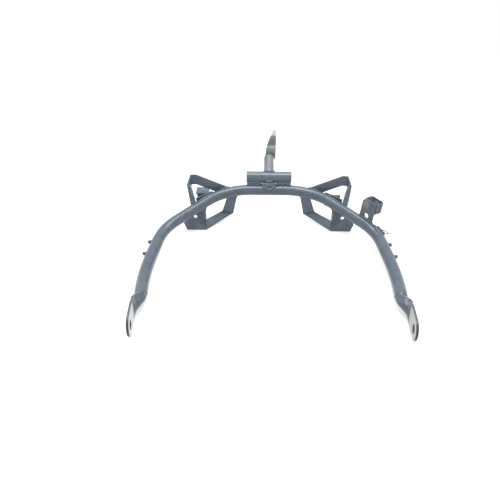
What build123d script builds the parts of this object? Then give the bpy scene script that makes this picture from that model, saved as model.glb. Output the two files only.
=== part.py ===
from build123d import *
from math import copysign, cos, pi, radians, sin
import os

# A welded steel fairing stay for a motorcycle, in millimetres.
# It lies on its two leg tabs and on the feet of its lower brackets, with the legs towards -Y.
# While it is modelled, x = 0 and y = 0 lie under the middle of the arch, and z = 0 is the ground.

# Main tube: corners of its route on the right-hand side, and the bend at each
tube_od = 19.1
tube_wall = 1.6
arch_corner_x = 79.8
arch_height = 53.5
arch_bend_radius = 103.0
shoulder_x = 177.4
shoulder_y = -116.6
shoulder_height = 31.6
shoulder_bend_radius = 106.0
knee_x = 191.6
knee_y = -221.1
knee_height = 11.5
knee_bend_radius = 290.0
leg_end_x = 182.9
leg_end_y = -286.8
leg_end_height = 13.0

# Flattened ends of the legs: upright tabs, pressed flat against the tube's outer wall
tab_width = 31.0
tab_thickness = 3.6
tab_length = 32.0
tab_edge_radius = 1.2
tab_turn = 5.5
tab_hole_diameter = 13.0
tab_hole_x = 184.2
tab_hole_y = -352.5
tab_hole_height = tab_width / 2
crimp_spread = 0.5
crimp_shares = (0, 0.25, 0.5, 0.75, 1)
crimp_points = 16
cavity_end = 0.6
cavity_width = 24.0
flat_power = 5
drain_diameter = 3.6
drain_from_crimp = 11.0
drain_above_rim = 4.5

# Cross sleeve over the arch, with its seat and its gusset
sleeve_od = 21.0
sleeve_bore = 12.5
sleeve_length = 82.0
sleeve_chamfer = 0.8
sleeve_gap = 3.4
sleeve_lean = 25.0
seat_length = 78.0
seat_thickness = 4.0
seat_reach = 1.0
gusset_foot = 25.0
gusset_head = 10.0
gusset_forward = 5.0

# Stem and the saddle on its end
stem_diameter = 18.0
stem_length = 46.0
stem_tilt = 60.0
neck_diameter = 14.0
neck_length = 5.0
saddle_radius = 33.0
saddle_thickness = 2.5
saddle_top_angle = 118.0
saddle_bottom_angle = 236.0
saddle_right = 12.5
saddle_left = 6.0
saddle_tip_right = 9.5
saddle_tip_radius = 2.5

# Flat bar and sheet, the gaps that the weld fills, and the steps and cuts that shape them
strap_width = 18.0
strap_thickness = 3.0
sheet = 2.5
weld_gap = 0.15
bury = 4.0
twist_steps = 3
twist_least = 1.0
cutter_size = 160.0

# Upper straps, on the right-hand side
upper_start = (72.0, -5.0, 51.0)
upper_bend = (131.0, -14.0, 79.0)
upper_corner = (140.0, -15.0, 79.0)
upper_twist = ((144.5, -30.0, 75.5), (141.0, -17.0, 67.5))
upper_end = ((136.5, -52.0, 38.5), (129.0, -43.5, 41.0))

# Lower brackets, on the right-hand side
lower_start = (66.0, -8.0, 47.0)
lower_fold_outer = (66.0, -5.0, 8.3)
lower_fold_inner = (84.5, -12.0, 17.0)
foot_corner_x = 112.0
foot_y = -57.0
foot_rise = 19.0
foot_length = 34.0
foot_flare = 5.0
foot_flare_height = 13.0
crease_x = 126.0
crease_back = 11.0
foot_hole_diameter = 6.5
foot_hole_from_crease = 4.0
foot_hole_below_tube = 3.4

# Rear plates and channels behind the arch
arch_tilt = 10.6
rear_plate_x = 107.3
rear_plate_length = 40.0
rear_plate_above = 7.5
rear_plate_below = 18.0
channel_near_x = 110.0
channel_far_x = 133.0
channel_back = 9.0
channel_floor_drop = 20.0
channel_depth = 62.0
web_height_left = 20.5
flange_left = 20.0
web_height_right = 8.5
flange_right = 6.0

# Relay bracket, on top of the tube's straight run to the right-hand shoulder
relay_along = 125.0
relay_back = 3.5
relay_width = 27.0
relay_head = 27.7
relay_corner = 4.0
relay_hole_above_tube = 0.35
relay_hole_diameter = 9.0
band_offset = 2.6
band_width = 28.2
band_foot_width = 25.5
band_depth = 17.0
band_height = 19.0
band_wall = 2.0
band_bend_radius = 5.0

# Cable clip on the right-hand shoulder: how far along the tube from its end, and how far round it
clip_from_end = 168.0
clip_round = 21.0
clip_length = 22.0
clip_width = 8.0
clip_thickness = 2.0
wire_diameter = 1.5
wire_reach = 13.0
wire_back = 2.3
wire_spread = 4.0
wire_bend_radius = 3.2
wire_drop = 6.5

# Studs on the outer side of the legs
stud_diameter = 6.0
stud_length = 5.0
stud_places = (-150.0, -178.0)

right, left = 1, -1


def at(point, side):
    # A point given for the right-hand side, on the side asked for
    return Vector(side * point[0], point[1], point[2])


# Route of the tube
arch_corner = (arch_corner_x, 0, arch_height)
shoulder = (shoulder_x, shoulder_y, shoulder_height)
knee = (knee_x, knee_y, knee_height)
leg_end = (leg_end_x, leg_end_y, leg_end_height)
leg_run = (Vector(*leg_end) - Vector(*knee)).normalized()
tab_hole = Vector(tab_hole_x, tab_hole_y, tab_hole_height)

corners = [arch_corner, shoulder, knee, leg_end]
route = [at(point, left) for point in reversed(corners)] + [at(point, right) for point in corners]
bends = [knee_bend_radius, shoulder_bend_radius, arch_bend_radius]
bends = bends + bends[::-1]
route_start = Plane(origin=route[0], z_dir=route[1] - route[0])

# The tabs turn in towards each other; the outer faces of tube and tab run on in one line
tab_run = Vector(-sin(radians(tab_turn)), -cos(radians(tab_turn)), 0)
tab_out = Vector(0, 0, 1).cross(tab_run)
tab_plane = Plane(origin=tab_hole, x_dir=tab_run, z_dir=tab_out)
crimp_end = tab_hole - tab_run * tab_length + tab_out * tab_thickness / 2
crimp_start = Vector(*leg_end) + Vector(0, 0, 1).cross(leg_run).normalized() * tube_od / 2


def eased(share):
    share = min(share, 1)
    return share * share * (3 - 2 * share)


def crimp_plane(share):
    # x points outwards, and the origin runs along the outer wall, level with the section's middle
    spread = eased(share / crimp_spread)
    along = (leg_run * (1 - share) + tab_run * share).normalized()
    origin = crimp_start * (1 - share) + crimp_end * share
    origin.Z = crimp_start.Z * (1 - spread) + crimp_end.Z * spread
    return Plane(origin=origin, x_dir=Vector(0, 0, 1).cross(along), z_dir=along)


def flattened(value, half):
    return half * copysign(abs(value) ** (2 / flat_power), value)


def crimp_outline(share):
    # The tube's inner wall is pressed in last at its middle
    spread = eased(share / crimp_spread)
    outline = []
    for i in range(crimp_points):
        c = cos(2 * pi * i / crimp_points)
        s = sin(2 * pi * i / crimp_points)
        pressed = spread if c > 0 else share + (spread - share) * abs(s)
        round_x = tube_od / 2 * (c - 1)
        flat_x = flattened(c, tab_thickness / 2) - tab_thickness / 2
        round_y = tube_od / 2 * s
        flat_y = flattened(s, tab_width / 2)
        outline.append((
            round_x + (flat_x - round_x) * pressed, round_y + (flat_y - round_y) * spread
        ))
    return outline


with BuildPart() as crimp:
    for share in crimp_shares:
        with BuildSketch(crimp_plane(share)):
            if share == 0:
                with Locations((-tube_od / 2, 0)):
                    Circle(tube_od / 2)
            else:
                with BuildLine():
                    Spline(*crimp_outline(share), periodic=True)
                make_face()
    loft()

with BuildPart() as cavity:
    with BuildSketch(crimp_plane(0)):
        with Locations((-tube_od / 2, 0)):
            Circle(tube_od / 2 - tube_wall)
    with BuildSketch(crimp_plane(cavity_end)):
        middle_thickness = tube_od * (1 - cavity_end) + tab_thickness * cavity_end
        with Locations((-middle_thickness / 2, 0)):
            Ellipse(middle_thickness / 2 - tube_wall, cavity_width / 2)
    loft()

with BuildPart() as tab:
    with BuildSketch(tab_plane):
        Circle(tab_width / 2)
        with Locations((-tab_length / 2, 0)):
            Rectangle(tab_length, tab_width)
    extrude(amount=tab_thickness / 2, both=True)
    sides = tab.faces().sort_by(Axis(tab_hole, tab_out))
    rims = sides[0].edges() + sides[-1].edges()
    start = tab_hole - tab_run * tab_length
    fillet(rims.filter_by(lambda e: (e.center() - start).dot(tab_run) > tab_edge_radius),
           tab_edge_radius)

drain_share = drain_from_crimp / (leg_end_y - crimp_end.Y)

with BuildPart() as leg_tip:
    add(crimp.part)
    add(tab.part)
    add(cavity.part, mode=Mode.SUBTRACT)
    with BuildSketch(tab_plane):
        Circle(tab_hole_diameter / 2)
    extrude(amount=tab_thickness, both=True, mode=Mode.SUBTRACT)
    drain_rim = leg_end_height - tube_od / 2
    drain_height = drain_rim * (1 - eased(drain_share / crimp_spread)) + drain_above_rim
    with BuildSketch(Plane(
        origin=(tab_hole_x, leg_end_y - drain_from_crimp, drain_height), z_dir=(-1, 0, 0)
    )):
        Circle(drain_diameter / 2)
    extrude(amount=tube_od, mode=Mode.SUBTRACT)

with BuildPart() as main_tube:
    with BuildLine():
        FilletPolyline(*route, radius=bends)
    with BuildSketch(route_start):
        Circle(tube_od / 2)
        Circle(tube_od / 2 - tube_wall, mode=Mode.SUBTRACT)
    sweep()
    add(leg_tip.part)
    add(mirror(leg_tip.part, about=Plane.YZ, mode=Mode.PRIVATE))

# The room that pieces welded to the tube leave for it
with BuildPart() as tube_room:
    with BuildLine():
        FilletPolyline(*route, radius=bends)
    with BuildSketch(route_start):
        Circle(tube_od / 2 + weld_gap)
    sweep()

# Cross sleeve
sleeve_rise = tube_od / 2 + sleeve_gap + sleeve_od / 2
sleeve_y = sleeve_rise * sin(radians(sleeve_lean))
sleeve_z = arch_height + sleeve_rise * cos(radians(sleeve_lean))

with BuildPart() as cross_sleeve:
    with BuildSketch(Plane.YZ.offset(-sleeve_length / 2)):
        with Locations((sleeve_y, sleeve_z)):
            Circle(sleeve_od / 2)
            Circle(sleeve_bore / 2, mode=Mode.SUBTRACT)
    extrude(amount=sleeve_length)
    chamfer(cross_sleeve.edges().filter_by(GeomType.CIRCLE), sleeve_chamfer)

with BuildPart() as sleeve_room:
    with BuildSketch(Plane.YZ.offset(-sleeve_length / 2)):
        with Locations((sleeve_y, sleeve_z)):
            Circle(sleeve_od / 2 + weld_gap)
    extrude(amount=sleeve_length)

# A plane through both axes, its y towards the sleeve and its z to the front
seat_up = Vector(0, sin(radians(sleeve_lean)), cos(radians(sleeve_lean)))
seat_plane = Plane(
    origin=(0, 0, arch_height), x_dir=(1, 0, 0), z_dir=Vector(1, 0, 0).cross(seat_up)
)

with BuildPart() as sleeve_seat:
    with BuildSketch(seat_plane):
        with Locations((0, tube_od / 2 + sleeve_gap / 2)):
            Rectangle(seat_length, sleeve_gap + seat_reach)
    extrude(amount=seat_thickness / 2, both=True)
    add(tube_room.part, mode=Mode.SUBTRACT)
    add(sleeve_room.part, mode=Mode.SUBTRACT)

with BuildPart() as centre_gusset:
    with BuildSketch(seat_plane.offset(seat_thickness / 2 + weld_gap)):
        with BuildLine():
            foot_v = tube_od / 4
            head_v = sleeve_rise - sleeve_od / 4
            Polyline(
                (-gusset_foot / 2, foot_v), (gusset_foot / 2, foot_v),
                (gusset_head / 2, (foot_v + head_v) / 2), (gusset_head / 2, head_v),
                (-gusset_head / 2, head_v), (-gusset_head / 2, (foot_v + head_v) / 2),
                close=True,
            )
        make_face()
    extrude(amount=gusset_forward)
    add(tube_room.part, mode=Mode.SUBTRACT)
    add(sleeve_room.part, mode=Mode.SUBTRACT)

# Stem
stem_run = Vector(0, sin(radians(stem_tilt)), cos(radians(stem_tilt)))
stem_plane = Plane(origin=(0, sleeve_y, sleeve_z), x_dir=(1, 0, 0), z_dir=stem_run)

with BuildPart() as stem:
    with BuildSketch(stem_plane):
        Circle(stem_diameter / 2)
    extrude(amount=stem_length)
    with BuildSketch(stem_plane.offset(stem_length)):
        Circle(neck_diameter / 2)
    extrude(amount=neck_length)
    add(sleeve_room.part, mode=Mode.SUBTRACT)

# Saddle: a tapered strip bent round a line across the machine, its back to the stem
saddle_touch = Vector(0, sleeve_y, sleeve_z) + stem_run * (stem_length + neck_length + weld_gap)
saddle_centre = saddle_touch + stem_run * saddle_radius
saddle_tip_z = saddle_centre.Z + saddle_radius * sin(radians(saddle_top_angle))
saddle_foot_z = saddle_centre.Z + saddle_radius * sin(radians(saddle_bottom_angle))
saddle_inner = saddle_radius - saddle_thickness
saddle_sweep = saddle_bottom_angle - saddle_top_angle
saddle_mid_z = (saddle_tip_z + saddle_foot_z) / 2

with BuildPart() as saddle:
    with BuildSketch(Plane.YZ.offset(-saddle_left)):
        with BuildLine():
            middle = (saddle_centre.Y, saddle_centre.Z)
            outer = CenterArc(middle, saddle_radius, saddle_top_angle, saddle_sweep)
            inner = CenterArc(middle, saddle_inner, saddle_top_angle, saddle_sweep)
            Line(outer @ 0, inner @ 0)
            Line(outer @ 1, inner @ 1)
        make_face()
    extrude(amount=saddle_left + saddle_right)
    with BuildSketch(Plane.XZ.offset(-saddle_centre.Y - saddle_radius)):
        with BuildLine():
            Line((-saddle_left, saddle_foot_z), (saddle_right, saddle_foot_z))
            Line((saddle_right, saddle_foot_z), (saddle_right, saddle_mid_z))
            Line((saddle_right, saddle_mid_z), (saddle_right, saddle_tip_z - saddle_tip_radius))
            ThreePointArc(
                (saddle_right, saddle_tip_z - saddle_tip_radius),
                (saddle_tip_right, saddle_tip_z),
                (saddle_tip_right - saddle_tip_radius, saddle_tip_z - saddle_tip_radius),
            )
            Spline(
                (saddle_tip_right - saddle_tip_radius, saddle_tip_z - saddle_tip_radius),
                (-saddle_left / 3, saddle_mid_z + (saddle_tip_z - saddle_mid_z) / 3),
                (-saddle_left, saddle_foot_z),
            )
        make_face()
    extrude(amount=2 * saddle_radius, mode=Mode.INTERSECT)


def folded_bar(lines, thickness):
    # A flat bar through lines across it, folded at each; a twisted stretch turns in steps
    shares = [step / twist_steps for step in range(1, twist_steps)]
    stations = [lines[0]]
    for (p, q), (r, t) in zip(lines, lines[1:]):
        twist = (q - p).normalized().dot((r - p).cross(t - p).normalized())
        if abs(twist) > sin(radians(twist_least)):
            stations += [(p + (r - p) * share, q + (t - q) * share) for share in shares]
        stations.append((r, t))
    middles = [(p + q) * 0.5 for p, q in stations]
    runs = [(b - a).normalized() for a, b in zip(middles, middles[1:])]
    sections = []
    for i, (p, q) in enumerate(stations):
        across = (q - p).normalized()
        before = runs[max(i - 1, 0)]
        after = runs[min(i, len(runs) - 1)]
        before = (before - across * before.dot(across)).normalized()
        after = (after - across * after.dot(across)).normalized()
        along = (before + after).normalized()
        thick = across.cross(along) * thickness / along.dot(after) / 2
        sections.append([p - thick, q - thick, q + thick, p + thick])
    faces = [Face(Wire.make_polygon(sections[0])), Face(Wire.make_polygon(sections[-1]))]
    for near, far in zip(sections, sections[1:]):
        # each side as two triangles, split from the near p to the far q on both broad sides
        for a, b in ((0, 1), (1, 2), (3, 2), (0, 3)):
            faces.append(Face(Wire.make_polygon([near[a], near[b], far[b]])))
            faces.append(Face(Wire.make_polygon([near[a], far[b], far[a]])))
    return Part() + Solid(Shell(faces))


def largest(part):
    # Coping a bar to the tube can leave offcuts on its far side
    return Part() + part.solids().sort_by(SortBy.VOLUME)[-1]


def upper_strap(side):
    # From behind the arch out to its corner, then turned flat and back down to the shoulder
    start, bend, corner = (at(point, side) for point in (upper_start, upper_bend, upper_corner))
    twist = tuple(at(point, side) for point in upper_twist)
    end = tuple(at(point, side) for point in upper_end)
    half_up = Vector(0, 0, strap_width / 2)
    into_tube = (at(shoulder, side) - at(arch_corner, side)).cross(Vector(0, 0, side)).normalized()
    bar = folded_bar([
        (start + half_up, start - half_up),
        (bend + half_up, bend - half_up),
        (corner + half_up, corner - half_up),
        twist,
        end,
        tuple(point + into_tube * bury for point in end),
    ], strap_thickness)
    with BuildPart() as strap:
        add(bar)
        add(tube_room.part, mode=Mode.SUBTRACT)
    return largest(strap.part)


def lower_bracket(side):
    start, outer, inner = (at(p, side) for p in (lower_start, lower_fold_outer, lower_fold_inner))
    across = (inner - outer).normalized() * strap_width / 2
    foot = Vector(side * foot_corner_x, foot_y, 0)
    bar = folded_bar([
        (start - across, start + across),
        (outer, inner),
        (foot, foot + Vector(0, 0, foot_rise)),
    ], sheet)
    facet = folded_bar([
        (foot, foot + Vector(0, crease_back, arch_height - sheet)),
        (Vector(side * (foot_corner_x + sheet), foot_y, 0),
         Vector(side * crease_x, foot_y, arch_height - sheet)),
    ], sheet)
    with BuildPart() as bracket:
        add(bar)
        add(facet)
        with BuildSketch(Plane.XZ.offset(-foot_y)):
            with BuildLine():
                far = foot_corner_x + foot_length
                Polyline(
                    (side * foot_corner_x, 0), (side * far, 0),
                    (side * (far + foot_flare), foot_flare_height),
                    (side * (far - foot_flare), arch_height - tube_od / 2),
                    (side * crease_x, arch_height - sheet),
                    close=True,
                )
            make_face()
            hole_x = crease_x + foot_hole_from_crease
            hole_top = tube_height(hole_x) - tube_od / 2 - foot_hole_below_tube
            with Locations((side * hole_x, hole_top - foot_hole_diameter / 2)):
                Circle(foot_hole_diameter / 2, mode=Mode.SUBTRACT)
        extrude(amount=sheet / 2, both=True)
        add(tube_room.part, mode=Mode.SUBTRACT)
    return largest(bracket.part)


def tube_height(x):
    # Height of the tube's axis along its straight run beside the arch
    return arch_height + (shoulder_height - arch_height) * (x - arch_corner_x) / (
        shoulder_x - arch_corner_x
    )


def rear_plane(side):
    # The back of the tube's straight run beside the arch: x along the tube, z to the back
    along = (at(shoulder, side) - at(arch_corner, side)).normalized()
    share = (rear_plate_x - arch_corner_x) / (shoulder_x - arch_corner_x)
    middle = at(arch_corner, side) + (at(shoulder, side) - at(arch_corner, side)) * share
    flat = Vector(along.X, along.Y, 0).normalized()
    back = Vector(0, 0, 1).cross(flat) * side
    return Plane(
        origin=middle + back * (tube_od / 2 + weld_gap), x_dir=flat * -side, z_dir=back
    )


def rear_plate(side):
    with BuildPart() as plate:
        with BuildSketch(rear_plane(side)):
            with Locations((0, (rear_plate_above - rear_plate_below) / 2)):
                Rectangle(rear_plate_length, rear_plate_above + rear_plate_below)
        extrude(amount=sheet)
        add(tube_room.part, mode=Mode.SUBTRACT)
    return plate.part


def rear_channel(side, web_height, flange):
    # Floor, web and flange folded from one sheet, and cut off where its floor meets the plate
    floor_height = arch_height - channel_floor_drop
    floor_back = (channel_back, floor_height)
    tilt = radians(arch_tilt)
    floor_front = (channel_back - channel_depth * cos(tilt),
                   floor_height - channel_depth * sin(tilt))
    web_top = (channel_back, floor_height + web_height)
    lip = (channel_back - flange * cos(tilt), web_top[1] - flange * sin(tilt))
    near = min(side * channel_near_x, side * channel_far_x)
    with BuildPart() as channel:
        with BuildSketch(Plane.YZ.offset(near)):
            with BuildLine():
                Polyline(floor_front, floor_back, web_top, lip)
                offset(amount=sheet, side=Side.LEFT)
            make_face()
        extrude(amount=channel_far_x - channel_near_x)
        with BuildSketch(rear_plane(side).offset(sheet + weld_gap)):
            Rectangle(cutter_size, cutter_size)
        extrude(amount=-cutter_size, mode=Mode.SUBTRACT)
    return largest(channel.part)


# Relay bracket: a plate that stands along the tube, and a band bent round behind its head
shoulder_run = (Vector(*shoulder) - Vector(*arch_corner)).normalized()
shoulder_back = Vector(0, 0, 1).cross(shoulder_run).normalized()
relay_plane = Plane(
    origin=Vector(*arch_corner) + shoulder_run * relay_along + shoulder_back * relay_back,
    x_dir=shoulder_run, z_dir=-shoulder_back,
)

relay_hole_rise = tube_od / 2 + relay_hole_above_tube + relay_hole_diameter / 2
relay_top = relay_hole_rise + relay_head

with BuildPart() as relay_plate:
    with BuildSketch(relay_plane):
        with BuildLine():
            half = relay_width / 2
            Polyline(
                (-half, 0), (half, 0), (half, relay_top), (relay_corner - half, relay_top),
                (-half, relay_top - relay_corner),
                close=True,
            )
        make_face()
        with Locations((0, relay_hole_rise)):
            Circle(relay_hole_diameter / 2, mode=Mode.SUBTRACT)
    extrude(amount=sheet / 2, both=True)
    add(tube_room.part, mode=Mode.SUBTRACT)

band_plane = Plane(
    origin=relay_plane.from_local_coords(
        Vector(band_offset, relay_top - band_height, -sheet / 2 - weld_gap)
    ),
    x_dir=shoulder_run, z_dir=relay_plane.y_dir,
)

with BuildPart() as relay_band:
    with BuildSketch(band_plane):
        with BuildLine():
            left_side = -band_width / 2
            FilletPolyline(
                (left_side, 0), (left_side, band_depth), (left_side + band_width, band_depth),
                (left_side + band_foot_width, 0),
                radius=band_bend_radius,
            )
            offset(amount=band_wall, side=Side.RIGHT)
        make_face()
    extrude(amount=band_height)

# Cable clip
with BuildLine() as tube_line:
    FilletPolyline(*route, radius=bends)
clip_at = tube_line.wire().length - clip_from_end
clip_point = tube_line.wire().position_at(clip_at, PositionMode.LENGTH)
clip_along = tube_line.wire().tangent_at(clip_at, PositionMode.LENGTH)
clip_side = Vector(0, 0, 1).cross(clip_along).normalized()
clip_up = clip_along.cross(clip_side)
clip_out = clip_side * cos(radians(clip_round)) + clip_up * sin(radians(clip_round))
clip_plane = Plane(
    origin=clip_point + clip_out * (tube_od / 2 + weld_gap), x_dir=clip_along, z_dir=clip_out
)

with BuildPart() as clip_base:
    with BuildSketch(clip_plane):
        SlotOverall(clip_length, clip_width)
    extrude(amount=clip_thickness)

with BuildPart() as clip_wire:
    with BuildLine() as wire_line:
        roots = [clip_plane.from_local_coords(Vector(x, 0, clip_thickness))
                 for x in (-wire_spread, wire_spread)]
        tips = [root + Vector(wire_reach, wire_back, -wire_drop) for root in roots]
        FilletPolyline(roots[0], tips[0], tips[1], roots[1], radius=wire_bend_radius)
    with BuildSketch(Plane(origin=wire_line.line @ 0, z_dir=wire_line.line % 0)):
        Circle(wire_diameter / 2)
    sweep()
    with BuildSketch(clip_plane.offset(clip_thickness + weld_gap)):
        Rectangle(clip_length, clip_length)
    extrude(amount=-clip_thickness, mode=Mode.SUBTRACT)

# Studs
with BuildPart() as leg_studs:
    for side in (left, right):
        for y in stud_places:
            share = (y - shoulder_y) / (knee_y - shoulder_y)
            axis_point = at(shoulder, side) + (at(knee, side) - at(shoulder, side)) * share
            with BuildSketch(Plane(origin=axis_point, x_dir=(0, 1, 0), z_dir=(side, 0, 0))):
                Circle(stud_diameter / 2)
            extrude(amount=tube_od / 2 + stud_length)
    add(tube_room.part, mode=Mode.SUBTRACT)

pieces = {
    "main_tube": main_tube.part,
    "cross_sleeve": cross_sleeve.part,
    "sleeve_seat": sleeve_seat.part,
    "centre_gusset": centre_gusset.part,
    "stem": stem.part,
    "saddle": saddle.part,
    "left_upper_strap": upper_strap(left),
    "right_upper_strap": upper_strap(right),
    "left_lower_bracket": lower_bracket(left),
    "right_lower_bracket": lower_bracket(right),
    "left_rear_plate": rear_plate(left),
    "right_rear_plate": rear_plate(right),
    "left_rear_channel": rear_channel(left, web_height_left, flange_left),
    "right_rear_channel": rear_channel(right, web_height_right, flange_right),
    "relay_plate": relay_plate.part,
    "relay_band": relay_band.part,
    "clip_base": clip_base.part,
    "clip_wire": clip_wire.part,
    "leg_studs": leg_studs.part,
}

# The finished stay stands with the middle of its box over the origin, on z = 0
box = Compound(children=[Part() + piece for piece in pieces.values()]).bounding_box()
shift = Location((-box.center().X, -box.center().Y, -box.min.Z))

os.makedirs("parts", exist_ok=True)
for name, piece in pieces.items():
    placed = piece.moved(shift)
    placed.label = name
    export_step(placed, "parts/" + name + ".step")
    print(name, "made")
print("moved by", shift.position)
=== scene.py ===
import bpy
import bmesh
from math import cos, pi, radians, sin
from random import Random
from mathutils import Matrix, Vector, noise
from mathutils.bvhtree import BVHTree


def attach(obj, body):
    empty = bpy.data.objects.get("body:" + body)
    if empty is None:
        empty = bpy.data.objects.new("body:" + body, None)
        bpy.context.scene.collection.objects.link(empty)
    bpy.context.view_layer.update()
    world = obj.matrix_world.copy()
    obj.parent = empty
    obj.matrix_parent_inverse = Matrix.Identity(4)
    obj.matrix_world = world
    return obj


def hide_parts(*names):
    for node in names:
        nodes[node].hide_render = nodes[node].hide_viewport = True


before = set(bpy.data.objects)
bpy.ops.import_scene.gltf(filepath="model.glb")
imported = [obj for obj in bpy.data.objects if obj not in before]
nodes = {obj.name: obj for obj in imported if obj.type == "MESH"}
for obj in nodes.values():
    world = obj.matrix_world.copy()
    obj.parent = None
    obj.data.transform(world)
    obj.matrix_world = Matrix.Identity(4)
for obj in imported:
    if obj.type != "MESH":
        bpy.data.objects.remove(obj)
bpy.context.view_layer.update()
print("frame loaded")

# Camera: its place in metres, its angles in degrees, its lens and sensor in millimetres
camera = {
    "place": (-0.01931, -0.73238, 0.43677),
    "down": 30.08,
    "turn": -0.95,
    "roll": 0.24,
    "lens": 37.37,
    "sensor": 36,
    "nearest": 0.01,
}


def makeCamera(values):
    down, turn, roll = (radians(values[key]) for key in ("down", "turn", "roll"))
    data = bpy.data.cameras.new("camera")
    data.sensor_width = values["sensor"]
    data.lens = values["lens"]
    data.clip_start = values["nearest"]
    made = bpy.data.objects.new("camera", data)
    bpy.context.scene.collection.objects.link(made)
    aim = Matrix.Rotation(-turn, 3, "Z") @ Matrix.Rotation(pi / 2 - down, 3, "X")
    aim = aim @ Matrix.Rotation(roll, 3, "Z")
    made.matrix_world = Matrix.Translation(values["place"]) @ aim.to_4x4()
    bpy.context.scene.camera = made


makeCamera(camera)


def fill(tree, socket, value):
    # a socket of another node is linked, and anything else is set
    if isinstance(value, bpy.types.NodeSocket):
        tree.links.new(value, socket)
    else:
        socket.default_value = value


def shaderMix(tree, factor, first, second):
    made = tree.nodes.new("ShaderNodeMixShader")
    for socket, value in zip(made.inputs, (factor, first, second)):
        fill(tree, socket, value)
    return made.outputs[0]


def colourMix(tree, factor, first, second, blend="MIX"):
    made = tree.nodes.new("ShaderNodeMix")
    made.data_type = "RGBA"
    made.blend_type = blend
    fill(tree, made.inputs["Factor"], factor)
    fill(tree, made.inputs[6], first)
    fill(tree, made.inputs[7], second)
    return made.outputs[2]


def numberMath(tree, operation, first, second):
    made = tree.nodes.new("ShaderNodeMath")
    made.operation = operation
    fill(tree, made.inputs[0], first)
    fill(tree, made.inputs[1], second)
    return made.outputs[0]


def vectorMath(tree, operation, output, *values):
    made = tree.nodes.new("ShaderNodeVectorMath")
    made.operation = operation
    for socket, value in zip(made.inputs, values):
        fill(tree, socket, value)
    return made.outputs[output]


def span(tree, value, low, high, bottom=0.0, top=1.0, kind="LINEAR"):
    # low to high becomes bottom to top
    made = tree.nodes.new("ShaderNodeMapRange")
    made.interpolation_type = kind
    fill(tree, made.inputs["Value"], value)
    for name, number in zip(("From Min", "From Max", "To Min", "To Max"),
                            (low, high, bottom, top)):
        made.inputs[name].default_value = number
    return made.outputs["Result"]


# Light: a plain bright room, a soft box over the object and a narrow strip behind it
light = {
    "worldFront": 0.36,
    "worldBack": 0.76,
    "boxPlace": (0.02, -0.02, 1.2),
    "boxAim": (0.0, 0.05, 0.05),
    "boxSize": (0.75, 0.50),
    "boxPower": 6.6,
    "stripPlace": (0.0, 0.42, 1.1),
    "stripAim": (0.0, 0.0, 0.03),
    "stripSize": (1.5, 0.14),
    "stripPower": 4.2,
    "floorShade": 0.78,
    "shadowShade": 0.8,
    "floorGlow": 0.56,
    "floorHalf": 8,
    "floorDrop": 0.0002,
}


def whiteRays(tree):
    # 1 for the rays that show the background itself
    path = tree.nodes.new("ShaderNodeLightPath")
    first = numberMath(tree, "MAXIMUM", path.outputs["Is Camera Ray"],
                       path.outputs["Is Glossy Ray"])
    return numberMath(tree, "MAXIMUM", first, path.outputs["Is Transmission Ray"])


def makeWorld(values):
    world = bpy.data.worlds.new("studio")
    bpy.context.scene.world = world
    world.use_nodes = True
    tree = world.node_tree
    tree.nodes.clear()
    out = tree.nodes.new("ShaderNodeOutputWorld")
    # the room is darker in front of the object than behind it
    place = tree.nodes.new("ShaderNodeTexCoord").outputs["Generated"]
    split = tree.nodes.new("ShaderNodeSeparateXYZ")
    tree.links.new(place, split.inputs[0])
    level = span(tree, split.outputs["Y"], -1, 1, values["worldFront"], values["worldBack"])
    shades = []
    for strength in (level, 1):
        made = tree.nodes.new("ShaderNodeBackground")
        made.inputs["Color"].default_value = (1, 1, 1, 1)
        fill(tree, made.inputs["Strength"], strength)
        shades.append(made.outputs[0])
    tree.links.new(shaderMix(tree, whiteRays(tree), *shades), out.inputs["Surface"])


def makeLamp(name, place, aim, size, power):
    data = bpy.data.lights.new(name, "AREA")
    data.shape = "RECTANGLE"
    data.size, data.size_y = size
    data.energy = power
    made = bpy.data.objects.new(name, data)
    bpy.context.scene.collection.objects.link(made)
    made.location = place
    made.rotation_euler = (Vector(place) - Vector(aim)).to_track_quat("Z", "Y").to_euler()


def makeFloor(values):
    half = values["floorHalf"]
    mesh = bpy.data.meshes.new("floor")
    mesh.from_pydata([(-half, -half, 0), (half, -half, 0), (half, half, 0), (-half, half, 0)],
                     [], [(0, 1, 2, 3)])
    made = bpy.data.objects.new("floor", mesh)
    bpy.context.scene.collection.objects.link(made)
    made.location.z = -values["floorDrop"]
    material = bpy.data.materials.new("floor")
    material.use_nodes = True
    tree = material.node_tree
    tree.nodes.clear()
    out = tree.nodes.new("ShaderNodeOutputMaterial")
    path = tree.nodes.new("ShaderNodeLightPath")

    def matt(shade):
        made = tree.nodes.new("ShaderNodeBsdfDiffuse")
        made.inputs["Color"].default_value = (shade,) * 3 + (1,)
        return made.outputs[0]

    def glowing(strength):
        made = tree.nodes.new("ShaderNodeEmission")
        made.inputs["Strength"].default_value = strength
        return made.outputs[0]

    # the camera sees a white floor that keeps only the shadows close to the object
    seen = tree.nodes.new("ShaderNodeAddShader")
    tree.links.new(matt(values["shadowShade"]), seen.inputs[0])
    tree.links.new(glowing(values["floorGlow"]), seen.inputs[1])
    pale = shaderMix(tree, path.outputs["Is Camera Ray"], matt(values["floorShade"]),
                     seen.outputs[0])
    last = shaderMix(tree, path.outputs["Is Glossy Ray"], pale, glowing(1))
    tree.links.new(last, out.inputs["Surface"])
    mesh.materials.append(material)


makeWorld(light)
for name in ("box", "strip"):
    makeLamp(name, *(light[name + part] for part in ("Place", "Aim", "Size", "Power")))
makeFloor(light)
bpy.context.scene.view_settings.view_transform = "Standard"
print("camera, light and floor made")

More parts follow.
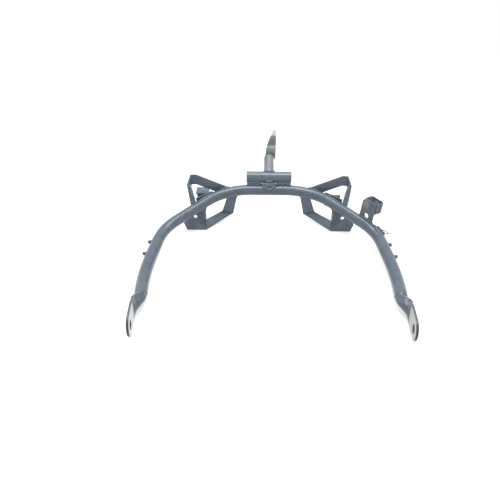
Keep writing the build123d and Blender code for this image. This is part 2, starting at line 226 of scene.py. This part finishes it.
# Paint: its colours, roughness, dark rims and clear coat for each slot
paints = {
    "tube_paint": {"dark": (0.070, 0.104, 0.148), "light": (0.104, 0.142, 0.188), "rough": 0.24,
                   "rim": (0.050, 0.048, 0.046), "coat": 0.6},
    "sleeve_paint": {"dark": (0.084, 0.128, 0.176), "light": (0.124, 0.172, 0.220), "rough": 0.26,
                     "rim": (0.044, 0.046, 0.048), "coat": 0.6},
    "stem_paint": {"dark": (0.165, 0.19, 0.21), "light": (0.25, 0.27, 0.29), "rough": 0.40,
                   "rim": (0.10, 0.10, 0.10), "coat": 0.2},
    "saddle_paint": {"dark": (0.25, 0.30, 0.34), "light": (0.38, 0.43, 0.47), "rough": 0.30,
                     "rim": (0.10, 0.085, 0.07), "coat": 0.5},
    "strap_paint": {"dark": (0.106, 0.144, 0.190), "light": (0.152, 0.194, 0.236), "rough": 0.28,
                    "rim": (0.050, 0.046, 0.042), "coat": 0.35},
    "bracket_paint": {"dark": (0.106, 0.152, 0.200), "light": (0.152, 0.200, 0.246), "rough": 0.28,
                      "rim": (0.058, 0.052, 0.046), "coat": 0.3},
    "channel_paint": {"dark": (0.100, 0.138, 0.182), "light": (0.146, 0.186, 0.230), "rough": 0.28,
                      "rim": (0.050, 0.048, 0.044), "coat": 0.3},
    "relay_paint": {"dark": (0.094, 0.118, 0.160), "light": (0.138, 0.164, 0.206), "rough": 0.30,
                    "rim": (0.056, 0.050, 0.044), "coat": 0.3},
    "clip_wire": {"dark": (0.22, 0.23, 0.25), "light": (0.36, 0.38, 0.40), "rough": 0.35,
                  "rim": (0.10, 0.10, 0.10), "coat": 0.0},
}

# What the paints share; each cloud is a scale, a detail and the span of it that shows
finish = {
    "coatRough": 0.12,
    "mottling": (70, 5, 0.3, 0.7),
    "tintDrift": (26, 2, 0.35, 0.65),
    "greenish": (0.97, 1.04, 0.93, 1),
    "violet": (1.05, 0.98, 1.08, 1),
    "facing": (0.6, 0.9),  # cosines between which a face begins to look at a patch's point
    "rimRadius": 0.0007,
    "rimSamples": 6,
    "rimTurn": (0.985, 0.90),  # cosines between which a rounded rim begins to show
    "gloss": (160, 4, 0.3, 0.7),
    "glossier": 0.06,
    "duller": 0.12,
    "skin": (420, 6, 0.0, 1.0),
    "skinStrength": 0.12,
    "skinDepth": 0.0004,
}


def bothSides(patch):
    x, y, z = patch["place"]
    return patch, {**patch, "place": (-x, y, z)}


# Patches of another colour, most of them painted light and shade: middle and half sizes in metres,
# soft edge as a share of them, colour and how much of it shows; with "towards", only on faces that
# look to that point
patches = {
    "tube_paint": [
        *bothSides({"place": (0.1885, -0.2190, 0.016), "sizes": (0.012, 0.013, 0.02),
                    "edge": 0.5, "colour": (0.030, 0.030, 0.028), "amount": 0.85}),
        *bothSides({"place": (0.1885, -0.1850, 0.031), "sizes": (0.006, 0.030, 0.004),
                    "edge": 0.5, "colour": (0.125, 0.140, 0.138), "amount": 0.8}),
        # the tabs' inner faces: light grey bare pressed metal with a painted reflection of the
        # white room on it; the left one is painted lighter still, as painted light where it is
        # turned away from the lamps
        {"place": (0.1862, -0.2030, 0.016), "sizes": (0.03, 0.031, 0.03), "edge": 0.12,
         "towards": (0.0, -0.185, 0.016), "colour": (0.43, 0.44, 0.46), "amount": 0.95},
        {"place": (-0.1862, -0.2030, 0.016), "sizes": (0.03, 0.031, 0.03), "edge": 0.12,
         "towards": (0.0, -0.185, 0.016), "colour": (0.72, 0.73, 0.75), "amount": 0.95},
        # painted shade in the V where the inner wall slopes down into the flat tab
        *bothSides({"place": (0.1820, -0.1590, 0.014), "sizes": (0.006, 0.012, 0.006),
                    "edge": 0.6, "colour": (0.062, 0.068, 0.088), "amount": 0.6}),
        # a painted highlight on the triangular facet of the right tip's crimp
        {"place": (0.1855, -0.1535, 0.0218), "sizes": (0.0024, 0.0065, 0.0030), "edge": 0.8,
         "colour": (0.32, 0.35, 0.42), "amount": 0.75},
    ],
    "sleeve_paint": [
        # a painted reflection of the floor and arch: a light strip along the sleeve's lower front
        {"place": (0.0, 0.1515, 0.0672), "sizes": (0.042, 0.004, 0.0018), "edge": 0.7,
         "colour": (0.36, 0.43, 0.47), "amount": 0.75},
    ],
    "bracket_paint": [
        # painted shade on the far side of each foot plate's fold
        *bothSides({"place": (0.1195, 0.092, 0.027), "sizes": (0.005, 0.006, 0.014),
                    "edge": 0.5, "colour": (0.058, 0.078, 0.104), "amount": 0.7}),
    ],
    "saddle_paint": [
        # painted light and shade in bands on the curved saddle: a lit tip, a dark band, a thin
        # painted highlight, a light band and a darker foot
        {"place": (0.006, 0.213, 0.144), "sizes": (0.02, 0.02, 0.005), "edge": 0.6,
         "colour": (0.40, 0.37, 0.34), "amount": 0.85},
        {"place": (0.003, 0.213, 0.130), "sizes": (0.02, 0.02, 0.007), "edge": 0.5,
         "colour": (0.13, 0.16, 0.165), "amount": 0.85},
        {"place": (0.003, 0.210, 0.1185), "sizes": (0.02, 0.02, 0.0016), "edge": 0.8,
         "colour": (0.75, 0.78, 0.80), "amount": 0.7},
        {"place": (0.003, 0.207, 0.112), "sizes": (0.02, 0.02, 0.005), "edge": 0.6,
         "colour": (0.48, 0.52, 0.56), "amount": 0.6},
        {"place": (0.003, 0.205, 0.101), "sizes": (0.02, 0.02, 0.003), "edge": 0.8,
         "colour": (0.16, 0.18, 0.20), "amount": 0.7},
    ],
    "relay_paint": [
        # a painted highlight on the relay plate beside the band
        {"place": (0.1604, 0.052, 0.0704), "sizes": (0.0025, 0.01, 0.005), "edge": 1.2,
         "colour": (0.28, 0.31, 0.34), "amount": 0.7},
        # painted light inside the band's pocket, which would otherwise lie in shade
        {"place": (0.1729, 0.058, 0.068), "sizes": (0.017, 0.017, 0.014), "edge": 0.1,
         "towards": (0.1729, 0.058, 0.068), "colour": (0.52, 0.52, 0.66), "amount": 0.95},
    ],
}


def cloud(tree, place, scale, detail, low, high):
    made = tree.nodes.new("ShaderNodeTexNoise")
    made.inputs["Scale"].default_value = scale
    made.inputs["Detail"].default_value = detail
    tree.links.new(place, made.inputs["Vector"])
    return span(tree, made.outputs["Fac"], low, high)


def patchMask(tree, place, patch):
    away = vectorMath(tree, "SUBTRACT", 0, place, patch["place"])
    share = vectorMath(tree, "DIVIDE", 0, away, patch["sizes"])
    reach = vectorMath(tree, "LENGTH", "Value", share)
    mask = span(tree, reach, 1 + patch["edge"], 1, 0, patch["amount"], "SMOOTHSTEP")
    if "towards" not in patch:
        return mask
    ray = vectorMath(tree, "SUBTRACT", 0, patch["towards"], place)
    unit = vectorMath(tree, "NORMALIZE", 0, ray)
    normal = tree.nodes.new("ShaderNodeNewGeometry").outputs["Normal"]
    looks = vectorMath(tree, "DOT_PRODUCT", "Value", unit, normal)
    return numberMath(tree, "MULTIPLY", mask, span(tree, looks, *finish["facing"]))


def makePaint(name, values):
    material = bpy.data.materials.new(name)
    material.use_nodes = True
    tree = material.node_tree
    tree.nodes.clear()
    link = tree.links.new
    out = tree.nodes.new("ShaderNodeOutputMaterial")
    shader = tree.nodes.new("ShaderNodeBsdfPrincipled")
    link(shader.outputs[0], out.inputs["Surface"])
    shader.inputs["Coat Weight"].default_value = values["coat"]
    shader.inputs["Coat Roughness"].default_value = finish["coatRough"]
    place = tree.nodes.new("ShaderNodeTexCoord").outputs["Object"]
    # slow mottling of the paint
    shade = colourMix(tree, cloud(tree, place, *finish["mottling"]),
                      values["dark"] + (1,), values["light"] + (1,))
    # a tint that drifts between greenish and violet
    tint = colourMix(tree, cloud(tree, place, *finish["tintDrift"]),
                     finish["greenish"], finish["violet"])
    shade = colourMix(tree, 1, shade, tint, "MULTIPLY")
    for patch in patches.get(name, []):
        shade = colourMix(tree, patchMask(tree, place, patch), shade, patch["colour"] + (1,))
    # darker and brownish where the sheet or tube has an edge
    bevel = tree.nodes.new("ShaderNodeBevel")
    bevel.samples = finish["rimSamples"]
    bevel.inputs["Radius"].default_value = finish["rimRadius"]
    normal = tree.nodes.new("ShaderNodeNewGeometry").outputs["Normal"]
    turned = vectorMath(tree, "DOT_PRODUCT", "Value", bevel.outputs[0], normal)
    edge = span(tree, turned, *finish["rimTurn"])
    link(colourMix(tree, edge, shade, values["rim"] + (1,)), shader.inputs["Base Color"])
    # gloss that varies a little, and the paint's fine skin
    gloss = span(tree, cloud(tree, place, *finish["gloss"]), 0, 1,
                 values["rough"] - finish["glossier"], values["rough"] + finish["duller"])
    link(gloss, shader.inputs["Roughness"])
    skin = tree.nodes.new("ShaderNodeBump")
    skin.inputs["Strength"].default_value = finish["skinStrength"]
    skin.inputs["Distance"].default_value = finish["skinDepth"]
    link(cloud(tree, place, *finish["skin"]), skin.inputs["Height"])
    link(bevel.outputs[0], skin.inputs["Normal"])
    link(skin.outputs[0], shader.inputs["Normal"])
    return material


paint = {name: makePaint(name, values) for name, values in paints.items()}
slotOf = {
    "main_tube": "tube_paint", "leg_studs": "tube_paint", "cross_sleeve": "sleeve_paint",
    "sleeve_seat": "sleeve_paint", "centre_gusset": "sleeve_paint", "stem": "stem_paint",
    "saddle": "saddle_paint", "left_upper_strap": "strap_paint",
    "right_upper_strap": "strap_paint", "left_lower_bracket": "bracket_paint",
    "right_lower_bracket": "bracket_paint", "left_rear_plate": "channel_paint",
    "right_rear_plate": "channel_paint", "left_rear_channel": "channel_paint",
    "right_rear_channel": "channel_paint", "relay_plate": "relay_paint",
    "relay_band": "relay_paint", "clip_base": "relay_paint", "clip_wire": "clip_wire",
}
for name, node in nodes.items():
    for socket in node.material_slots:
        socket.material = paint[slotOf[name]]
print("paint made")

# Leg tips: each end of the tube is pressed flat from "start" to "end" along Y, and 0 to 1 is
# the share of that way. Lengths are in metres.
tips = {
    "start": -0.137,
    "end": -0.1709,
    "before": 0.08,  # how far ahead of the start corners may still lie, as a share
    "legRun": (0.128, -0.9918, 0.0),
    "roundHalf": 0.00955,  # half heights of the round tube and of the flat tab
    "flatHalf": 0.0155,
    "roundMiddle": 0.0130,  # height of the tube's middle above the ground
    "cadSpread": 0.5,  # share at which the solid is as wide as its tab
    "quickSpread": 0.35,
    "quickShare": 0.15,
    "outerStart": 0.1925,  # x of the outer wall
    "outerEnd": 0.1897,
    "roundThick": 0.0191,
    "flatThick": 0.0036,
    "rimPress": 0.0036,
    "rimStart": 0.35,
    "rimFade": (0.55, 0.45),  # where the press on the rims ebbs, and over what share
    "rimZone": (0.2, 0.5),  # the same from the middle of the height to the rim
    "creaseAt": -0.1392,
    "creaseWidth": 0.0020,
    "creaseDepth": 0.0013,
    "creaseFall": 2.718,
    "creaseReach": 9,
    "creaseTop": 0.4,
    "wrinkle": 0.0042,
    "wrinkleShare": 0.6,
    "innerCurve": 0.36,
    "longerBelow": 0.0135,
    "longerAbove": 0.003,
    "probe": 0.00005,  # step that finds how a corner's normal turns
    "margin": 0.01,
    "least": 1e-9,
}


def eased(share):
    share = max(0.0, min(1.0, share))
    return share * share * (3 - 2 * share)


def pressed(p, values):
    # where a point of the tube goes
    share = (values["start"] - p.y) / (values["start"] - values["end"])
    if share < -values["before"] or share >= 1:
        return p.copy()
    share = max(0.0, share)
    side = 1 if p.x > 0 else -1
    run = Vector(values["legRun"])
    run.x *= -side
    low, high = values["roundMiddle"], values["flatHalf"]

    def middle(spread):
        half = values["roundHalf"] * (1 - spread) + values["flatHalf"] * spread
        return low * (1 - spread) + high * spread, half

    was = eased(share / values["cadSpread"])
    quick = values["quickShare"]
    now = quick * eased(share / values["quickSpread"]) + (1 - quick) * eased(share)
    (z0, half0), (z1, half1) = middle(was), middle(now)
    up = (p.z - z0) / half0
    out = Vector((p.x, p.y, z1 + up * half1))
    # the rims are pressed together before the middle, which is left as a V
    outer = values["outerStart"] * (1 - share) + values["outerEnd"] * share
    thick = values["roundThick"] * (1 - share) + values["flatThick"] * share
    deep = max(0.0, min(1.0, (outer - abs(p.x)) / thick))
    fadeFrom, fadeOver = values["rimFade"]
    zoneFrom, zoneOver = values["rimZone"]
    ebb = eased(share / values["rimStart"]) * (1 - eased((share - fadeFrom) / fadeOver))
    out.x += side * values["rimPress"] * deep * ebb * eased((abs(up) - zoneFrom) / zoneOver)
    # the inner wall leaves the round tube in a curve
    bend = values["innerCurve"]
    if share < bend:
        late = share - share * share / (2 * bend)
    else:
        late = bend / 2 * (1 - share) / (1 - bend)
    out.x -= side * deep * (values["roundThick"] - values["flatThick"]) * late
    # a crease across the top where the press bit first; on the left tip it is wrinkled
    bite = ((p.y - values["creaseAt"]) / values["creaseWidth"]) ** 2
    if bite < values["creaseReach"]:
        depth = values["creaseDepth"] * values["creaseFall"] ** -bite
        depth *= eased(up / values["creaseTop"])
        if side < 0:
            depth *= values["wrinkleShare"] * (1 + sin(2 * pi * p.x / values["wrinkle"]))
        out.z -= depth
    # below, the press reached further back along the leg than above
    longer = values["longerBelow"] + (values["longerAbove"] - values["longerBelow"]) * (up + 1) / 2
    return out - run * longer * (1 - share) ** 2


def placePiece(name, mesh):
    made = bpy.data.objects.new(name, mesh)
    bpy.context.scene.collection.objects.link(made)
    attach(made, "root")
    return made


def makeArch(values):
    source = nodes["main_tube"].data
    mesh = source.copy()
    mesh.name = "arch_tube"
    looks = [corner.vector.copy() for corner in source.corner_normals]
    step = values["probe"]
    moved = {}
    for v in mesh.vertices:
        if v.co.y > values["start"] + values["margin"]:
            continue
        p = v.co.copy()
        q = pressed(p, values)
        if (q - p).length < values["least"]:
            continue
        columns = [(pressed(p + Vector(d) * step, values) - q) / step
                   for d in ((1, 0, 0), (0, 1, 0), (0, 0, 1))]
        moved[v.index] = (q, Matrix(columns).inverted_safe())
    for index, (q, _) in moved.items():
        mesh.vertices[index].co = q
    for loop in mesh.loops:
        if loop.vertex_index in moved:
            looks[loop.index] = (moved[loop.vertex_index][1] @ looks[loop.index]).normalized()
    mesh.normals_split_custom_set(looks)
    made = placePiece("arch_tube", mesh)
    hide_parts("main_tube")
    print("arch_tube", len(moved), "corners moved")


makeArch(tips)

# Weld beads: along the sharp edges of one piece that lie against another. Lengths are in metres.
welds = {
    "radius": 0.0016,
    "ripple": 0.0014,
    "rippleDepth": 0.16,
    "rippleMiddle": 0.6,
    "step": 0.0004,
    "sides": 10,
    "near": 0.0005,  # an edge this close to the other piece is welded
    "longest": 0.0015,
    "sharp": 0.5,  # turn of an edge in radians
    "unevenness": 0.12,
    "lumps": 300,
    "smoothing": 6,
    "fewest": 6,  # points that a bead needs
    "endSize": 0.25,
    "firstUp": (0.1, 0.2, 1),
    "seedStep": 7,
    "heapSeedStep": 31,
}
merging = 0.000002  # corners closer than this are one


def solidMesh(node):
    # the node's mesh with its doubled corners merged
    made = bmesh.new()
    made.from_mesh(node.data)
    bmesh.ops.remove_doubles(made, verts=made.verts, dist=merging)
    return made


def nearTree(node):
    mesh = solidMesh(nodes[node])
    tree = BVHTree.FromBMesh(mesh)
    mesh.free()
    return tree


def isSharp(edge, values):
    return len(edge.link_faces) != 2 or edge.calc_face_angle(0) >= values["sharp"]


def seams(first, second, near, values):
    # chains of points along the sharp edges of first that lie against second
    mesh = solidMesh(nodes[first])
    tree = nearTree(second)
    for edge in [e for e in mesh.edges if isSharp(e, values)]:
        start = edge.verts[0]
        for k in range(int(edge.calc_length() / values["longest"]) + 1, 1, -1):
            _, start = bmesh.utils.edge_split(edge, start, 1 / k)
    mesh.edges.index_update()
    mesh.verts.index_update()
    edges = [e for e in mesh.edges if isSharp(e, values)
             and max(tree.find_nearest(v.co)[3] for v in e.verts) < near]
    joined = {}
    for edge in edges:
        for v in edge.verts:
            joined.setdefault(v.index, []).append(edge)
    places = {v.index: v.co.copy() for v in mesh.verts}
    ends = {edge.index: (edge.verts[0].index, edge.verts[1].index) for edge in edges}
    left = set(ends)
    chains = []
    while left:
        start = min(left, key=lambda i: (-sum(len(joined[v]) == 1 for v in ends[i]), i))
        v0 = next((v for v in ends[start] if len(joined[v]) == 1), ends[start][0])
        chain = [v0]
        while True:
            step = next((e for e in joined[chain[-1]] if e.index in left), None)
            if step is None:
                break
            left.discard(step.index)
            a, b = ends[step.index]
            chain.append(b if a == chain[-1] else a)
        if len(chain) > 1:
            chains.append([places[v] for v in chain])
    mesh.free()
    return chains


def evenPoints(points, step):
    out = [points[0].copy()]
    spare = 0.0
    for a, b in zip(points, points[1:]):
        length = (b - a).length
        if not length:
            continue
        at = step - spare
        while at <= length:
            out.append(a.lerp(b, at / length))
            at += step
        spare = length - (at - step)
    return out


def smoothed(points, rounds, closed):
    for _ in range(rounds):
        fresh = []
        for i, p in enumerate(points):
            if closed:
                fresh.append((points[i - 1] + p * 2 + points[(i + 1) % len(points)]) / 4)
            elif 0 < i < len(points) - 1:
                fresh.append((points[i - 1] + p * 2 + points[i + 1]) / 4)
            else:
                fresh.append(p)
        points = fresh
    return points


def layBead(mesh, points, values, seed, size=1.0):
    closed = (points[0] - points[-1]).length < 2 * values["step"]
    points = smoothed(evenPoints(points, values["step"]), values["smoothing"], closed)
    if len(points) < values["fewest"]:
        return
    rings = []
    count = len(points)
    sides = values["sides"]
    up = Vector(values["firstUp"])
    for i, p in enumerate(points):
        ahead = points[(i + 1) % count] if closed else points[min(i + 1, count - 1)]
        behind = points[i - 1] if closed else points[max(i - 1, 0)]
        run = (ahead - behind).normalized()
        across = run.cross(up).normalized()
        up = across.cross(run).normalized()
        along = i * values["step"] / values["ripple"]
        scale = 1 + values["rippleDepth"] * (abs(sin(pi * along)) - values["rippleMiddle"])
        lump = noise.noise(p * values["lumps"] + Vector((seed, 0, 0)))
        scale += values["unevenness"] * lump
        if not closed:
            fade = min(i, count - 1 - i) * values["step"] / values["radius"]
            scale *= min(1.0, values["endSize"] + (1 - values["endSize"]) * fade)
        radius = values["radius"] * size * scale
        ring = []
        for k in range(sides):
            turn = 2 * pi * k / sides
            ring.append(mesh.verts.new(p + (across * cos(turn) + up * sin(turn)) * radius))
        rings.append(ring)
    pairs = list(zip(rings, rings[1:])) + ([(rings[-1], rings[0])] if closed else [])
    for a, b in pairs:
        for k in range(sides):
            face = mesh.faces.new((a[k], a[(k + 1) % sides], b[(k + 1) % sides], b[k]))
            face.smooth = True
    if not closed:
        mesh.faces.new(rings[0][::-1])
        mesh.faces.new(rings[-1])


# Drops of weld metal that fell beside the seams
drops = {
    "every": 6,
    "share": 0.35,
    "reach": 0.006,
    "sizes": (0.00025, 0.0006),
    "height": 0.6,
    "roundness": 2,
}


def laySpatter(mesh, points, tree, values, rng):
    for p in points[::values["every"]]:
        if rng.random() > values["share"]:
            continue
        away = Vector([rng.uniform(-1, 1) for _ in range(3)]) * values["reach"]
        place, normal, _, _ = tree.find_nearest(p + away)
        size = rng.uniform(*values["sizes"])
        flat = Matrix.Diagonal((1, 1, values["height"], 1))
        turn = normal.to_track_quat("Z", "Y").to_matrix().to_4x4()
        bmesh.ops.create_icosphere(mesh, subdivisions=values["roundness"], radius=size,
                                   matrix=Matrix.Translation(place) @ turn @ flat)


def finishWeld(name, slot, mesh):
    data = bpy.data.meshes.new(name)
    bmesh.ops.recalc_face_normals(mesh, faces=mesh.faces)
    mesh.to_mesh(data)
    print(name, len(mesh.faces), "faces")
    mesh.free()
    data.materials.append(paint[slot])
    placePiece(name, data)


def makeWelds(name, slot, pairs, values, dropValues):
    # each pair may end with its own distance for what counts as near
    mesh = bmesh.new()
    rng = Random(name)
    seed = 0
    for first, second, size, *other in pairs:
        near = other[0] if other else values["near"]
        for chain in seams(first, second, near, values):
            seed += values["seedStep"]
            layBead(mesh, chain, values, seed, size)
            if second == "main_tube":
                laySpatter(mesh, evenPoints(chain, values["step"]), nearTree(second),
                           dropValues, rng)
    for face in mesh.faces:
        face.smooth = True
    finishWeld(name, slot, mesh)


makeWelds("sleeve_welds", "sleeve_paint", [
    ("sleeve_seat", "main_tube", 1.0), ("sleeve_seat", "cross_sleeve", 1.0),
    ("centre_gusset", "main_tube", 2.2), ("centre_gusset", "cross_sleeve", 1.7),
    ("stem", "cross_sleeve", 1.6),
], welds, drops)

# Weld metal heaped up in front of the gusset: runs of points and a size for each
heaps = [
    (((-0.0125, 0.1520, 0.0672), (-0.0120, 0.1490, 0.0655), (-0.0115, 0.1460, 0.0635)), 2.3),
    (((0.0125, 0.1520, 0.0672), (0.0120, 0.1490, 0.0655), (0.0115, 0.1460, 0.0635)), 2.3),
    (((-0.0100, 0.1440, 0.0618), (-0.0050, 0.1418, 0.0598), (0.0, 0.1408, 0.0590),
      (0.0050, 0.1418, 0.0598), (0.0100, 0.1440, 0.0618)), 1.5),
    (((-0.0100, 0.1475, 0.0658), (-0.0050, 0.1468, 0.0652), (0.0, 0.1472, 0.0656),
      (0.0050, 0.1468, 0.0652), (0.0100, 0.1475, 0.0658)), 2.0),
]


def makeHeap(name, slot, runs, values, under=None):
    # with "under", the runs are laid down on that node
    mesh = bmesh.new()
    tree = nearTree(under) if under else None
    for number, (run, size) in enumerate(runs):
        points = [Vector(p) for p in run]
        if tree:
            points = [tree.find_nearest(p)[0] for p in points]
        layBead(mesh, points, values, values["heapSeedStep"] * number, size)
    finishWeld(name, slot, mesh)


makeHeap("gusset_heap", "sleeve_paint", heaps, welds)

# Two short runs of weld on the tube beside the relay plate
strays = [
    (((0.1762, 0.0405, 0.0440), (0.1788, 0.0372, 0.0430), (0.1812, 0.0338, 0.0420)), 0.55),
    (((0.1742, 0.0372, 0.0440), (0.1766, 0.0340, 0.0430)), 0.5),
]
makeHeap("stray_welds", "relay_paint", strays, welds, "main_tube")

makeWelds("strap_welds", "strap_paint", [
    ("left_upper_strap", "main_tube", 1.0), ("right_upper_strap", "main_tube", 1.0),
], welds, drops)
makeWelds("bracket_welds", "bracket_paint", [
    ("left_lower_bracket", "main_tube", 1.0), ("right_lower_bracket", "main_tube", 1.0),
], welds, drops)
makeWelds("channel_welds", "channel_paint", [
    ("left_rear_plate", "left_rear_channel", 0.7),
    ("right_rear_plate", "right_rear_channel", 0.7),
    ("left_rear_channel", "left_rear_plate", 0.7),
    ("right_rear_channel", "right_rear_plate", 0.7),
    ("left_rear_plate", "main_tube", 0.7), ("right_rear_plate", "main_tube", 0.7),
    ("left_rear_plate", "left_upper_strap", 0.7, 0.0008),
], welds, drops)
makeWelds("relay_welds", "relay_paint", [
    ("relay_plate", "main_tube", 1.0), ("relay_band", "relay_plate", 0.8),
    ("clip_base", "main_tube", 0.6, 0.0018),
], welds, drops)
makeWelds("saddle_welds", "stem_paint", [("saddle", "stem", 0.9), ("stem", "saddle", 0.9)],
          welds, drops)
makeWelds("stud_welds", "tube_paint", [("leg_studs", "main_tube", 0.6)], welds, drops)
print("welds made")
